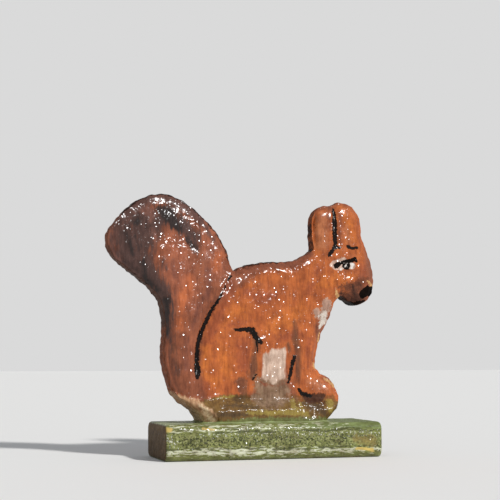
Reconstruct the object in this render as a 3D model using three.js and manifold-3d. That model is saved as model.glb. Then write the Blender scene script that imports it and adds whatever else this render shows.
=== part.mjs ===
// Wooden squirrel on a block: a figure sawn from a board and whittled, glued and pinned to a painted base.
// Millimetres, +Z up, nose towards +X, photographed face towards -Y, origin under the middle of the base.
import * as THREE from 'three';
import { mergeVertices } from 'three/addons/utils/BufferGeometryUtils.js';
import Module from 'manifold-3d';

// Base block: a strip with rounded long edges, sawn to length
const baseLength = 76;
const baseWidth = 28;
const baseHeight = 12;
const baseEdgeRounding = 2.4;
const baseEndEasing = 0.7; // rounding left by the sandpaper at the sawn ends

// Figure: its height, then the thicknesses that the knife left
const figureHeight = 77.25; // from the foot to the top of the tail
const moundThickness = 20;
const bodyThickness = 14; // at the top of the mound
const tipThickness = 7.5; // at the ear tips and the top of the tail
const moundFaceHeight = 4; // upright foot of the mound
const moundHeight = 10; // where the mound has sloped back to the body
const edgeRounding = 3; // whittled edge, measured in the plane of the board
const edgeRoundingDepth = 4; // the same edge, measured through the thickness of the body
const cutRadius = 0.8; // round gouge that parts the tail from the body and the ears from each other
const cutDepth = 0.6;
const heelSliceWidth = 4; // corners sliced off the mound at the tail end, measured on the face of the board
const heelSliceDepth = 3.4; // the same slices, measured through the thickness

// Fixings under the base
const glueThickness = 0.2;
const glueMargin = 1.5; // bare strip left between the glue and the edge of the foot
const pinDiameter = 1.6;
const pinLength = 25;
const pinPointLength = 2.4;
const pinHeadDiameter = 3;
const pinHeadThickness = 0.9;
const pinSinkage = 1; // depth to which the heads are punched below the underside
const fitClearance = 0.3; // between a pin and the wood round it

// Fineness of the facets
const outlineStepsPerPoint = 3;
const roundingSteps = 4;
const cornerSteps = 5;
const roundSides = 16;
const cutSteps = 4; // along each stretch of a knife cut

// Outline of the figure on the pattern paper, in squares along and up from the middle of the base top.
// Each stretch is one smooth saw cut, and a corner stands where two stretches meet.
const outline = [
  // stem and tail, from the foot up the back of the stem and over the plume to the notch above the back
  [
    [-4.65, 0], [-5.05, 0.65], [-6.05, 1.45], [-6.7, 2.15], [-7.15, 3.5], [-7.3, 4.8], [-7.2, 6.4],
    [-7.5, 8.1], [-8.3, 9.1], [-9.65, 10.15], [-10.8, 11.15], [-11.2, 12.3], [-10.75, 13.3],
    [-9.8, 14.4], [-8.75, 15.15], [-7.5, 15.45], [-6.4, 15.2], [-5.1, 14.4], [-3.85, 13.2],
    [-3, 11.85], [-2.65, 10.8], [-2.35, 10.2],
  ],
  // back and nape
  [[-2.35, 10.2], [-1.6, 10.65], [0.1, 10.95], [1.75, 11], [2.85, 11.45], [3.45, 11.9]],
  // near ear
  [[3.45, 11.9], [3.35, 13.2], [3.5, 14.4], [4.1, 14.95], [4.95, 15.1]],
  // far ear
  [[4.95, 15.1], [5.35, 15.3], [5.9, 15.3], [6.5, 14.95], [7.05, 14.1], [7.1, 12.9]],
  // brow, nose and jaw
  [[7.1, 12.9], [7.5, 11.9], [7.9, 10.6], [7.95, 9.4], [7.7, 8.6], [7.1, 8.08], [6.45, 8.05], [5.5, 8.65]],
  // throat and chest
  [[5.5, 8.65], [5, 8.25], [4.57, 7.1], [4, 6.05], [3.6, 4.8], [3.42, 3.65]],
  // paw and the front of the mound
  [[3.42, 3.65], [3.95, 3.15], [4.5, 2.9], [4.88, 2.4], [5.03, 1.75], [4.85, 1], [4.45, 0.45], [4, 0]],
];

// Knife cuts on both faces, on the same pattern paper, each starting past the edge of the wood
const knifeCuts = [
  // between the tail and the body
  [[-2.1, 10.9], [-3.2, 9.2], [-4.2, 7.35], [-4.95, 5.5], [-5.15, 4.3], [-5.1, 3.3]],
  // between the ears
  [[4.92, 15.5], [4.97, 13.8], [5, 12.1]],
];

// Places of the two pins along the foot, in squares
const pinPlaces = [['tail_end', -3], ['nose_end', 2.5]];

// One square of the pattern paper at full size
const patternHeight = Math.max(...outline.flat().map(([, up]) => up));
const square = figureHeight / patternHeight;

const footHeight = baseHeight + glueThickness;
const sawReach = 40 * square; // longer than the figure, for tools that pass right over it
const wasm = await Module();
wasm.setup();

// Turns a closed three.js geometry into a solid that can be cut
function solidOf(geometry) {
  geometry.deleteAttribute('normal');
  geometry.deleteAttribute('uv');
  const merged = mergeVertices(geometry);
  return new wasm.Manifold(new wasm.Mesh({
    numProp: 3,
    vertProperties: new Float32Array(merged.attributes.position.array),
    triVerts: new Uint32Array(merged.index.array),
  }));
}

// Turns a cut solid back into a geometry with a face normal on every triangle
function geometryOf(solid) {
  const mesh = solid.getMesh();
  const shared = new THREE.BufferGeometry();
  shared.setAttribute('position', new THREE.BufferAttribute(mesh.vertProperties, 3));
  shared.setIndex(new THREE.BufferAttribute(mesh.triVerts, 1));
  const faceted = shared.toNonIndexed();
  faceted.computeVertexNormals();
  return faceted;
}

function named(name, geometry, material) {
  const mesh = new THREE.Mesh(geometry, material);
  mesh.name = name;
  return mesh;
}

// Rectangle with round corners, centred on a point of the drawing's first axis
function roundedRectangle(length, width, radius, centre = 0) {
  const x = centre - length / 2;
  const y = -width / 2;
  const shape = new THREE.Shape();
  shape.moveTo(x + radius, y);
  shape.lineTo(x + length - radius, y);
  shape.absarc(x + length - radius, y + radius, radius, -Math.PI / 2, 0);
  shape.lineTo(x + length, y + width - radius);
  shape.absarc(x + length - radius, y + width - radius, radius, 0, Math.PI / 2);
  shape.lineTo(x + radius, y + width);
  shape.absarc(x + radius, y + width - radius, radius, Math.PI / 2, Math.PI);
  shape.lineTo(x, y + radius);
  shape.absarc(x + radius, y + radius, radius, Math.PI, 1.5 * Math.PI);
  return shape;
}

// Lays an extruded cross-section along X, with the drawing's own axes across and up
function layAlong(extrusion) {
  extrusion.rotateX(Math.PI / 2);
  extrusion.rotateZ(Math.PI / 2);
  return extrusion;
}

// Upright cylinder between two heights over a place along the middle line
function uprightCylinder(radius, bottom, top, along) {
  const cylinder = new THREE.CylinderGeometry(radius, radius, top - bottom, roundSides);
  cylinder.rotateX(Math.PI / 2);
  cylinder.translate(along, 0, (bottom + top) / 2);
  return solidOf(cylinder);
}

// Hole for a pin shank, from below the base to just past the point of the pin
function shankHole(along) {
  const top = pinSinkage + pinLength + fitClearance;
  return uprightCylinder(pinDiameter / 2 + fitClearance, -fitClearance, top, along);
}

// Point of the pattern paper at full size
function onPattern([along, up]) {
  return new THREE.Vector2(along, up).multiplyScalar(square);
}

// Outline as one closed shape, which runs on below the foot so that the rounding can be sawn off flat there
function figureShape() {
  const stretches = outline.map((stretch) => stretch.map(onPattern));
  const runOut = 2 * edgeRounding;
  const [start] = stretches[0];
  const shape = new THREE.Shape();
  shape.moveTo(start.x, -runOut);
  shape.lineTo(start.x, start.y);
  for (const stretch of stretches) shape.splineThru(stretch.slice(1));
  shape.lineTo(shape.currentPoint.x, -runOut);
  return shape;
}

// Outline cut through a board of some thickness, standing on edge with its edges whittled round
function sawnBoard(thickness) {
  const board = new THREE.ExtrudeGeometry(figureShape(), {
    depth: thickness - 2 * edgeRoundingDepth,
    curveSegments: outlineStepsPerPoint,
    bevelThickness: edgeRoundingDepth,
    bevelSize: edgeRounding,
    bevelOffset: -edgeRounding,
    bevelSegments: roundingSteps,
  });
  board.translate(0, 0, edgeRoundingDepth - thickness / 2);
  board.rotateX(Math.PI / 2);
  return board;
}

// Thickness of the body, head and tail, planed thinner towards the top
function thicknessAt(height) {
  return THREE.MathUtils.mapLinear(height, moundHeight, figureHeight, bodyThickness, tipThickness);
}

function taperedBody() {
  const body = sawnBoard(bodyThickness);
  const point = body.attributes.position;
  for (let i = 0; i < point.count; i += 1) {
    point.setY(i, point.getY(i) * thicknessAt(point.getZ(i)) / bodyThickness);
  }
  return solidOf(body);
}

// Mound under the animal: the same outline in thicker wood, sloped back to the body on both faces
function slopedMound() {
  const inner = (bodyThickness - edgeRounding) / 2;
  const outer = moundThickness / 2;
  const bottom = -2 * edgeRounding;
  const side = new THREE.Shape([
    [-outer, bottom], [outer, bottom], [outer, moundFaceHeight],
    [inner, moundHeight], [-inner, moundHeight], [-outer, moundFaceHeight],
  ].map(([across, up]) => new THREE.Vector2(across, up)));
  const slopes = new THREE.ExtrudeGeometry(side, { depth: sawReach, bevelEnabled: false });
  slopes.translate(0, 0, -sawReach / 2);
  return solidOf(sawnBoard(moundThickness)).intersect(solidOf(layAlong(slopes)));
}

// Round gouge drawn along a cut, on the face towards -Y (side -1) or +Y (side 1)
function gouge(cut, side) {
  const path = new THREE.CatmullRomCurve3(cut.map(onPattern).map(({ x, y: height }) => (
    new THREE.Vector3(x, side * (thicknessAt(height) / 2 + cutRadius - cutDepth), height)
  )));
  const section = new THREE.Shape().absarc(0, 0, cutRadius, 0, 2 * Math.PI);
  return solidOf(new THREE.ExtrudeGeometry(section, {
    steps: cutSteps * (cut.length - 1), curveSegments: roundSides / 2, extrudePath: path,
  }));
}

// Slices the corner off the mound at the tail end, on the face towards -Y (side -1) or +Y (side 1)
function heelSliced(solid, side) {
  const [low, , , high] = outline[0].map(onPattern); // the heel takes up the outline's first four places
  const inward = new THREE.Vector2(high.y - low.y, low.x - high.x).setLength(heelSliceWidth);
  const face = side * moundThickness / 2;
  const deep = face - side * heelSliceDepth;
  const slice = new THREE.Plane().setFromCoplanarPoints(
    new THREE.Vector3(low.x, deep, low.y),
    new THREE.Vector3(high.x, deep, high.y),
    new THREE.Vector3(low.x + inward.x, face, low.y + inward.y),
  );
  if (slice.constant < 0) slice.negate(); // the side with the middle of the foot stays
  return solid.trimByPlane(slice.normal.toArray(), -slice.constant);
}

function squirrelFigure() {
  const below = new THREE.BoxGeometry(sawReach, sawReach, sawReach);
  below.translate(0, 0, -sawReach / 2);
  let solid = taperedBody().add(slopedMound()).subtract(solidOf(below));
  for (const side of [-1, 1]) {
    solid = heelSliced(solid, side);
    for (const cut of knifeCuts) solid = solid.subtract(gouge(cut, side));
  }
  solid = solid.translate(0, 0, footHeight);
  for (const [, place] of pinPlaces) solid = solid.subtract(shankHole(place * square));
  const paint = new THREE.MeshStandardMaterial({ color: 0xa8612f, roughness: 0.35, metalness: 0 });
  return named('squirrel_figure', geometryOf(solid), paint);
}

function baseBlock() {
  const strip = new THREE.ExtrudeGeometry(roundedRectangle(baseWidth, baseHeight, baseEdgeRounding), {
    depth: baseLength - 2 * baseEndEasing,
    curveSegments: cornerSteps,
    bevelThickness: baseEndEasing,
    bevelSize: baseEndEasing,
    bevelOffset: -baseEndEasing,
    bevelSegments: roundingSteps,
  });
  strip.translate(0, 0, baseEndEasing - baseLength / 2);
  layAlong(strip).translate(0, 0, baseHeight / 2);
  let solid = solidOf(strip);
  for (const [, place] of pinPlaces) {
    const headRecess = uprightCylinder(
      pinHeadDiameter / 2 + fitClearance, -fitClearance, pinSinkage + pinHeadThickness, place * square,
    );
    solid = solid.subtract(shankHole(place * square)).subtract(headRecess);
  }
  const paint = new THREE.MeshStandardMaterial({ color: 0x6e7d50, roughness: 0.45, metalness: 0 });
  return named('base_block', geometryOf(solid), paint);
}

// Film of glue under the foot, with room for the pins
function glueFilm() {
  const [footBack] = outline[0][0];
  const [footFront] = outline.at(-1).at(-1);
  const length = (footFront - footBack) * square - 2 * (edgeRounding + glueMargin);
  const width = moundThickness - 2 * (edgeRounding + glueMargin);
  const plan = roundedRectangle(length, width, edgeRounding, ((footBack + footFront) / 2) * square);
  for (const [, place] of pinPlaces) {
    const hole = new THREE.Path();
    hole.absarc(place * square, 0, pinDiameter / 2 + fitClearance, 0, 2 * Math.PI, true);
    plan.holes.push(hole);
  }
  const film = new THREE.ExtrudeGeometry(plan, {
    depth: glueThickness, curveSegments: cornerSteps, bevelEnabled: false,
  });
  film.translate(0, 0, baseHeight);
  const glue = new THREE.MeshStandardMaterial({ color: 0xc9b27c, roughness: 0.4, metalness: 0 });
  return named('glue_film', geometryOf(solidOf(film)), glue);
}

// Round wire pin with a flat head, driven up from below
function fixingPin(end, place) {
  const shank = pinDiameter / 2;
  const head = pinHeadDiameter / 2;
  const profile = [
    [0, 0], [head, 0], [head, pinHeadThickness], [shank, pinHeadThickness],
    [shank, pinLength - pinPointLength], [0, pinLength],
  ].map(([radius, height]) => new THREE.Vector2(radius, height));
  const pin = new THREE.LatheGeometry(profile, roundSides);
  pin.rotateX(Math.PI / 2);
  const steel = new THREE.MeshStandardMaterial({ color: 0x8d9094, roughness: 0.4, metalness: 1 });
  const mesh = named(`fixing_pin_${end}`, geometryOf(solidOf(pin)), steel);
  mesh.position.set(place * square, 0, pinSinkage);
  return mesh;
}

const toy = new THREE.Group();
toy.add(squirrelFigure(), baseBlock(), glueFilm());
for (const [end, place] of pinPlaces) toy.add(fixingPin(end, place));

export default toy;
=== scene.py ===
"""Looks of a hand-painted wooden squirrel that stands on a green block.

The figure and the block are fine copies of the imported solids, whittled and painted here. Lengths are written
in millimetres in the part's own frame: x along the base towards the nose, y through the board, z up from the
floor. A place in the painting is written (x, z, half width of the brush), as both faces of the board carry
the same picture. A band is a pair of values between which something fades in or out.
"""

import logging
import math
from dataclasses import dataclass
from enum import Enum
from typing import Any

import bmesh
import bpy
import numpy as np
from mathutils import Euler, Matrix, Vector, kdtree, noise


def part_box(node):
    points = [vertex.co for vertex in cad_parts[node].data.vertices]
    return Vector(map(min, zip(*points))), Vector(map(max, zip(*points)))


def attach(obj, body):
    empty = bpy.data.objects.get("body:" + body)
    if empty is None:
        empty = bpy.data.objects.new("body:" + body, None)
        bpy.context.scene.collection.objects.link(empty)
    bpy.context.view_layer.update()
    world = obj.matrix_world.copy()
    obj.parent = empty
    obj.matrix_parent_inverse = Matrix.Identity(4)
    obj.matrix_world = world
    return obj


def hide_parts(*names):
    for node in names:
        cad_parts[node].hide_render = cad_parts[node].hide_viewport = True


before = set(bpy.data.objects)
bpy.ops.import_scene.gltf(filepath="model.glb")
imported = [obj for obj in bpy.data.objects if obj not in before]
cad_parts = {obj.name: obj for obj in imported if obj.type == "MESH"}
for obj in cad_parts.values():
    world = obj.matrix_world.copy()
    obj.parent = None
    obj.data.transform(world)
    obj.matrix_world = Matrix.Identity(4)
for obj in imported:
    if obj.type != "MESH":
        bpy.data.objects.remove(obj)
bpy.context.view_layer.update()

LOG = logging.getLogger("squirrel")
MM = 0.001
BODY = "root"
PIN_ENDS = ("tail_end", "nose_end")
RUN_COVER = "run_cover"
RUN_LEAN = "run_lean"
MERGE_DISTANCE = 1e-6
TINY = 1e-9
SMOOTHING = 0.5

# Shifts that make one noise differ from another
BEAD_SEED = 21.7
RIPPLE_SEED = 11.3
FINE_RIPPLE_SEED = 4.4
NICK_SEED = 3.7
WAVE_SEED = 8.2
DENT_SEED = 5.1

Band = tuple[float, float]
Place = tuple[float, float, float]
Size = tuple[float, float, float]
Stroke = tuple[Place, ...]
Strokes = tuple[Stroke, ...]
Colour = tuple[float, float, float, float]


def hex_colour(code: str) -> Colour:
    """Turn an sRGB hex colour into a linear one.

    Args:
        code: six hex digits after a hash sign.

    Returns:
        Linear red, green, blue and an alpha of one.
    """
    channels = [int(code[i:i + 2], 16) / 255 for i in (1, 3, 5)]
    linear = [c / 12.92 if c <= 0.04045 else ((c + 0.055) / 1.055) ** 2.4 for c in channels]
    return (*linear, 1.0)


def per_metre(size_mm: float) -> float:
    """Return the texture scale whose marks are about size_mm across on Object coordinates."""
    return 1 / (size_mm * MM)


def add_node(
    tree: bpy.types.NodeTree, kind: str, inputs: dict | None = None, **settings: Any
) -> bpy.types.Node:
    """Add a node with its settings, values and links.

    Args:
        tree: node tree that gets the node.
        kind: type name of the node.
        inputs: for each input name or number, a socket to link or a value to set.
        settings: properties of the node.

    Returns:
        The new node.
    """
    node = tree.nodes.new(kind)
    for name, value in settings.items():
        setattr(node, name, value)
    for key, value in (inputs or {}).items():
        if isinstance(value, bpy.types.NodeSocket):
            tree.links.new(value, node.inputs[key])
        else:
            node.inputs[key].default_value = value
    return node


def smoothstep(value: np.ndarray, low: float, high: float) -> np.ndarray:
    """Rise smoothly from 0 at low to 1 at high."""
    t = np.clip((value - low) / (high - low), 0, 1)
    return t * t * (3 - 2 * t)


def fade_out(value: np.ndarray, low: float, high: float) -> np.ndarray:
    """Fall smoothly from 1 at low to 0 at high."""
    return smoothstep(-value, -high, -low)


def facing(lean: np.ndarray, limit: Band) -> np.ndarray:
    """Turn the lean of a surface into a distance that a layer of paint can keep to.

    Args:
        lean: one part of each vertex's normal.
        limit: lean at which the paint stops, and the millimetres that a whole unit of lean counts for.

    Returns:
        Millimetres outside the limit, negative inside it.
    """
    edge, length = limit
    return (edge - lean) * length


def new_material(name: str) -> tuple[bpy.types.Material, bpy.types.NodeTree, bpy.types.Node]:
    """Make an empty node material.

    Args:
        name: name of the material.

    Returns:
        The material, its node tree and its Principled shader.
    """
    material = bpy.data.materials.new(name)
    material.use_nodes = True
    tree = material.node_tree
    tree.nodes.clear()
    shader = add_node(tree, "ShaderNodeBsdfPrincipled")
    add_node(tree, "ShaderNodeOutputMaterial", {"Surface": shader.outputs["BSDF"]})
    return material, tree, shader


class Brush(Enum):
    """How paint was put on, as the squeeze of its marks along x, y and z."""

    UPRIGHT = (1.0, 1.0, 0.2)
    LEVEL = (0.2, 0.6, 1.0)
    DABBED = (1.0, 1.0, 1.0)


class Where(Enum):
    """Part of a piece that a layer of paint keeps to."""

    ANYWHERE = "anywhere"
    SAWN_EDGE = "sawn edge"
    RIM = "rim of the face"
    FACES = "two faces"
    SIDES = "sides of the block"
    END_GRAIN = "end grain"
    UNDERSIDE = "underside"


EVERYWHERE: Strokes = (((0, 40, 200),),)


@dataclass(frozen=True)
class PaintLayer:
    """One colour of the painting, with the strokes that laid it on.

    The distance from the strokes' edges goes on the mesh as an attribute in millimetres, and the material
    turns it into cover: softness is the width of the fade, fray how far the edge wanders and mark the size of
    the brush marks. A stroke whose half width is below zero leaves only specks, and gloss is the varnish left
    on thirsty wood.
    """

    name: str
    colours: tuple[str, str]
    strokes: Strokes
    where: Where = Where.ANYWHERE
    softness: float = 1.0
    fray: float = 0.5
    mark: float = 1.5
    cover: float = 0.95
    gloss: float = 1.0
    brush: Brush = Brush.DABBED

    @property
    def attribute(self) -> str:
        """Name of the mesh attribute that holds the layer."""
        return f"paint_{self.name}"


class Surface:
    """Vertices of a piece as arrays in millimetres, for carving and painting them all at once."""

    def __init__(self, piece: bpy.types.Object) -> None:
        """Read the vertices and normals of a piece.

        Args:
            piece: mesh object that sits at the origin.
        """
        self.piece = piece
        self.places = np.empty(0)
        self.normals = np.empty(0)
        self.read()

    def read(self) -> None:
        """Fill the arrays from the mesh."""
        mesh = self.piece.data
        count = len(mesh.vertices)
        flat = np.empty(count * 3, np.float32)
        mesh.vertices.foreach_get("co", flat)
        self.places = flat.reshape(count, 3).astype(float) / MM
        mesh.vertex_normals.foreach_get("vector", flat)
        self.normals = flat.reshape(count, 3).astype(float)

    def move(self, offset: np.ndarray) -> None:
        """Shift every vertex and write the mesh back.

        Args:
            offset: one shift in millimetres for each vertex.
        """
        self.places = self.places + offset
        self.piece.data.vertices.foreach_set("co", (self.places * MM).astype(np.float32).ravel())
        self.piece.data.update()
        self.read()

    def noise(self, size: Size, seed: float) -> np.ndarray:
        """Give smooth noise from -1 to 1 at every vertex.

        Args:
            size: width of the marks along x, y and z, in millimetres.
            seed: shift that makes one noise differ from another.

        Returns:
            One value for each vertex.
        """
        scaled = self.places / np.array(size) + seed
        return np.array([noise.noise(place) for place in scaled])

    def stroke_distance(self, stroke: Stroke) -> np.ndarray:
        """Measure how far each vertex lies outside a brush stroke, on the plane of the picture.

        Args:
            stroke: places that the brush passed through.

        Returns:
            Millimetres from the stroke's edge, negative inside it.
        """
        picture = self.places[:, [0, 2]]
        nearest = np.full(len(picture), np.inf)
        for start, end in zip(stroke, stroke[1:] or stroke):
            first, step = np.array(start[:2]), np.array(end[:2]) - np.array(start[:2])
            length = max(step @ step, TINY)
            share = np.clip((picture - first) @ step / length, 0, 1)
            gap = np.linalg.norm(picture - first - share[:, None] * step, axis=1)
            nearest = np.minimum(nearest, gap - (start[2] + share * (end[2] - start[2])))
        return nearest

    def nearest_stroke(self, strokes: Strokes) -> np.ndarray:
        """Measure how far each vertex lies outside the nearest of several strokes."""
        return np.min([self.stroke_distance(stroke) for stroke in strokes], axis=0)

    def write(self, name: str, values: np.ndarray) -> None:
        """Keep numbers for each vertex as a mesh attribute.

        Args:
            name: name of the attribute.
            values: one number or one vector for each vertex.
        """
        kind, member = ("FLOAT", "value") if values.ndim == 1 else ("FLOAT_VECTOR", "vector")
        attribute = self.piece.data.attributes.new(name, kind, "POINT")
        attribute.data.foreach_set(member, values.astype(np.float32).ravel())


def fine_copy(node: str, name: str, voxel: float) -> bpy.types.Object:
    """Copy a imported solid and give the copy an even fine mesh.

    Args:
        node: name of the CAD node.
        name: name of the new piece.
        voxel: spacing of the new mesh in millimetres.

    Returns:
        The new object, linked to the scene.
    """
    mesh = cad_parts[node].data.copy()
    mesh.materials.clear()
    solid = bmesh.new()
    solid.from_mesh(mesh)
    bmesh.ops.remove_doubles(solid, verts=solid.verts, dist=MERGE_DISTANCE)
    solid.to_mesh(mesh)
    solid.free()
    piece = bpy.data.objects.new(name, mesh)
    bpy.context.scene.collection.objects.link(piece)
    remesh = piece.modifiers.new("even mesh", "REMESH")
    remesh.mode = "VOXEL"
    remesh.voxel_size = voxel * MM
    bpy.context.view_layer.update()
    evened = bpy.data.meshes.new_from_object(piece.evaluated_get(bpy.context.evaluated_depsgraph_get()))
    piece.modifiers.clear()
    piece.data = evened
    evened.name = name
    evened.shade_smooth()
    return piece


def relax(piece: bpy.types.Object, times: int, above: float) -> None:
    """Even out a mesh, which takes off the steps that a remesh leaves.

    Args:
        piece: mesh object.
        times: how often to smooth.
        above: height in millimetres below which the mesh stays as it is.
    """
    mesh = bmesh.new()
    mesh.from_mesh(piece.data)
    movable = [vertex for vertex in mesh.verts if vertex.co.z > above * MM]
    axes = {f"use_axis_{axis}": True for axis in "xyz"}
    for _ in range(times):
        bmesh.ops.smooth_vert(mesh, verts=movable, factor=SMOOTHING, **axes)
    mesh.to_mesh(piece.data)
    mesh.free()


@dataclass(frozen=True)
class Varnish:
    """Clear spirit varnish brushed thickly over paint, whose dust nibs and brush marks catch the light.

    nib is the size of those marks, and tilt the lean of the steepest. Most lean little, so they sparkle in
    clusters where the wood is rounded towards the light. In a pool the varnish has run thick and lies smooth.
    A run is a ridge of it that leans from the wood, by an attribute on the mesh, and calm is how much of its
    marks it has lost. weight is the strength of the coat on well filled wood.
    """

    nib: float = 0.34
    tilt: float = 0.52
    steepness: float = 2.4
    pool: float = 7.0
    pool_band: Band = (0.34, 0.46)
    calm: float = 0.5
    weight: float = 0.62
    roughness: float = 0.18
    ior: float = 1.5

    def coat(self, tree: bpy.types.NodeTree, shader: bpy.types.Node, coords: bpy.types.NodeSocket) -> None:
        """Put the varnish on a shader.

        Args:
            tree: node tree of the material.
            shader: its Principled shader.
            coords: Object coordinates.
        """
        cells = add_node(tree, "ShaderNodeTexVoronoi", {"Vector": coords, "Scale": per_metre(self.nib)})
        middle = (0.5, 0.5, 0.5)
        centred = add_node(
            tree, "ShaderNodeVectorMath", {0: cells.outputs["Color"], 1: middle}, operation="SUBTRACT"
        )
        chance = add_node(tree, "ShaderNodeTexWhiteNoise", {"Vector": cells.outputs["Position"]})
        rarity = add_node(
            tree, "ShaderNodeMath", {0: chance.outputs["Value"], 1: self.steepness}, operation="POWER"
        )
        pools = add_node(tree, "ShaderNodeTexNoise", {"Vector": coords, "Scale": per_metre(self.pool)})
        pool_start, pool_end = self.pool_band
        thin = add_node(
            tree,
            "ShaderNodeMapRange",
            {
                "Value": pools.outputs["Fac"],
                "From Min": pool_start,
                "From Max": pool_end,
                "To Max": 2 * self.tilt,
            },
        )
        amount = add_node(
            tree, "ShaderNodeMath", {0: rarity.outputs[0], 1: thin.outputs["Result"]}, operation="MULTIPLY"
        )
        in_run = add_node(tree, "ShaderNodeAttribute", attribute_name=RUN_COVER)
        left = add_node(
            tree,
            "ShaderNodeMath",
            {0: in_run.outputs["Fac"], 1: -self.calm, 2: 1.0},
            operation="MULTIPLY_ADD",
        )
        amount = add_node(
            tree, "ShaderNodeMath", {0: amount.outputs[0], 1: left.outputs[0]}, operation="MULTIPLY"
        )
        lean = add_node(
            tree,
            "ShaderNodeVectorMath",
            {0: centred.outputs[0], "Scale": amount.outputs[0]},
            operation="SCALE",
        )
        surface = add_node(tree, "ShaderNodeNewGeometry")
        leaning = add_node(
            tree, "ShaderNodeVectorMath", {0: surface.outputs["Normal"], 1: lean.outputs[0]}, operation="ADD"
        )
        run = add_node(tree, "ShaderNodeAttribute", attribute_name=RUN_LEAN)
        leaning = add_node(
            tree, "ShaderNodeVectorMath", {0: leaning.outputs[0], 1: run.outputs["Vector"]}, operation="ADD"
        )
        normal = add_node(tree, "ShaderNodeVectorMath", {0: leaning.outputs[0]}, operation="NORMALIZE")
        tree.links.new(normal.outputs[0], shader.inputs["Coat Normal"])
        shader.inputs["Coat Weight"].default_value = self.weight
        shader.inputs["Coat Roughness"].default_value = self.roughness
        shader.inputs["Coat IOR"].default_value = self.ior


@dataclass(frozen=True)
class PaintedWood:
    """Oil paint brushed on whittled softwood in several colours, under clear varnish.

    The eye sees soft blends with upright brush marks, crisp black lines and wet-looking glints on the rounded
    edges. thirst is how soon a thin layer of dull paint soaks up the varnish over it.
    """

    name: str
    ground: tuple[str, str]
    layers: tuple[PaintLayer, ...]
    varnish: Varnish
    ground_brush: Brush = Brush.UPRIGHT
    ground_mark: float = 2.6
    mark_detail: float = 4.0
    mark_roughness: float = 0.6
    tone_band: Band = (0.35, 0.68)
    ridge: float = 0.55
    ridge_height: float = 0.05
    grime: tuple[str, str] = ("#BDB3AD", "#FFFFFF")
    grime_mark: float = 3.2
    fine_grime_mark: float = 0.8
    grime_band: Band = (0.72, 1.2)
    thirst: float = 1.4
    roughness: float = 0.5
    specular: float = 0.02

    def mark_out(self, surface: Surface, limits: dict[Where, np.ndarray]) -> None:
        """Write each layer's distance from its strokes on the mesh.

        Args:
            surface: vertices of the piece.
            limits: millimetres outside each place that a layer may keep to, negative inside it.
        """
        for layer in self.layers:
            distance = surface.nearest_stroke(layer.strokes)
            if layer.where is not Where.ANYWHERE:
                distance = np.maximum(distance, limits[layer.where])
            surface.write(layer.attribute, distance)

    def layer_cover(
        self, tree: bpy.types.NodeTree, layer: PaintLayer, marks: bpy.types.NodeSocket
    ) -> bpy.types.NodeSocket:
        """Work out where a layer of paint covers what lies under it.

        Args:
            tree: node tree of the material.
            layer: the layer.
            marks: brush marks from 0 to 1.

        Returns:
            Cover from 0 to 1.
        """
        field = add_node(tree, "ShaderNodeAttribute", attribute_name=layer.attribute)
        reach = 4 * layer.fray
        wander = add_node(
            tree, "ShaderNodeMath", {0: marks, 1: reach, 2: -reach / 2}, operation="MULTIPLY_ADD"
        )
        edge = add_node(
            tree, "ShaderNodeMath", {0: field.outputs["Fac"], 1: wander.outputs[0]}, operation="ADD"
        )
        cover = add_node(
            tree,
            "ShaderNodeMapRange",
            {
                "Value": edge.outputs[0],
                "From Min": layer.softness / 2,
                "From Max": -layer.softness / 2,
                "To Min": 0.0,
                "To Max": layer.cover,
            },
            interpolation_type="SMOOTHSTEP",
        )
        return cover.outputs["Result"]

    def marks(
        self, tree: bpy.types.NodeTree, coords: bpy.types.NodeSocket, brush: Brush, size: float
    ) -> bpy.types.NodeSocket:
        """Draw brush marks.

        Args:
            tree: node tree of the material.
            coords: Object coordinates.
            brush: how the paint was put on.
            size: width of the marks in millimetres.

        Returns:
            Marks from 0 to 1.
        """
        squeezed = add_node(tree, "ShaderNodeMapping", {"Vector": coords, "Scale": brush.value})
        texture = add_node(
            tree,
            "ShaderNodeTexNoise",
            {
                "Vector": squeezed.outputs[0],
                "Scale": per_metre(size),
                "Detail": self.mark_detail,
                "Roughness": self.mark_roughness,
            },
        )
        return texture.outputs["Fac"]

    def blend(
        self, tree: bpy.types.NodeTree, share: Any, under: Any, over: Any, mode: str = "MIX"
    ) -> bpy.types.NodeSocket:
        """Lay one colour over another.

        Args:
            tree: node tree of the material.
            share: how much of the upper colour shows, as a socket or a number.
            under: socket or value of the lower colour.
            over: socket or value of the upper colour.
            mode: way in which the two blend.

        Returns:
            The blended colour.
        """
        sockets = {0: share, 6: under, 7: over}
        mix = add_node(tree, "ShaderNodeMix", sockets, data_type="RGBA", blend_type=mode)
        return mix.outputs[2]

    def two_tone(
        self, tree: bpy.types.NodeTree, colours: tuple[str, str], marks: bpy.types.NodeSocket
    ) -> bpy.types.NodeSocket:
        """Vary a paint between two colours by its brush marks.

        Args:
            tree: node tree of the material.
            colours: the two colours.
            marks: brush marks from 0 to 1.

        Returns:
            The varied colour.
        """
        low, high = self.tone_band
        share = add_node(tree, "ShaderNodeMapRange", {"Value": marks, "From Min": low, "From Max": high})
        return self.blend(tree, share.outputs["Result"], *map(hex_colour, colours))

    def mottle(self, tree: bpy.types.NodeTree, coords: bpy.types.NodeSocket) -> bpy.types.NodeSocket:
        """Give the grime and thin spots that darken old paint here and there.

        Args:
            tree: node tree of the material.
            coords: Object coordinates.

        Returns:
            Colour to multiply the paint by.
        """
        broad = self.marks(tree, coords, Brush.DABBED, self.grime_mark)
        fine = self.marks(tree, coords, self.ground_brush, self.fine_grime_mark)
        both = add_node(tree, "ShaderNodeMath", {0: broad, 1: fine}, operation="ADD").outputs[0]
        low, high = self.grime_band
        share = add_node(tree, "ShaderNodeMapRange", {"Value": both, "From Min": low, "From Max": high})
        return self.blend(tree, share.outputs["Result"], *map(hex_colour, self.grime))

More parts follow.
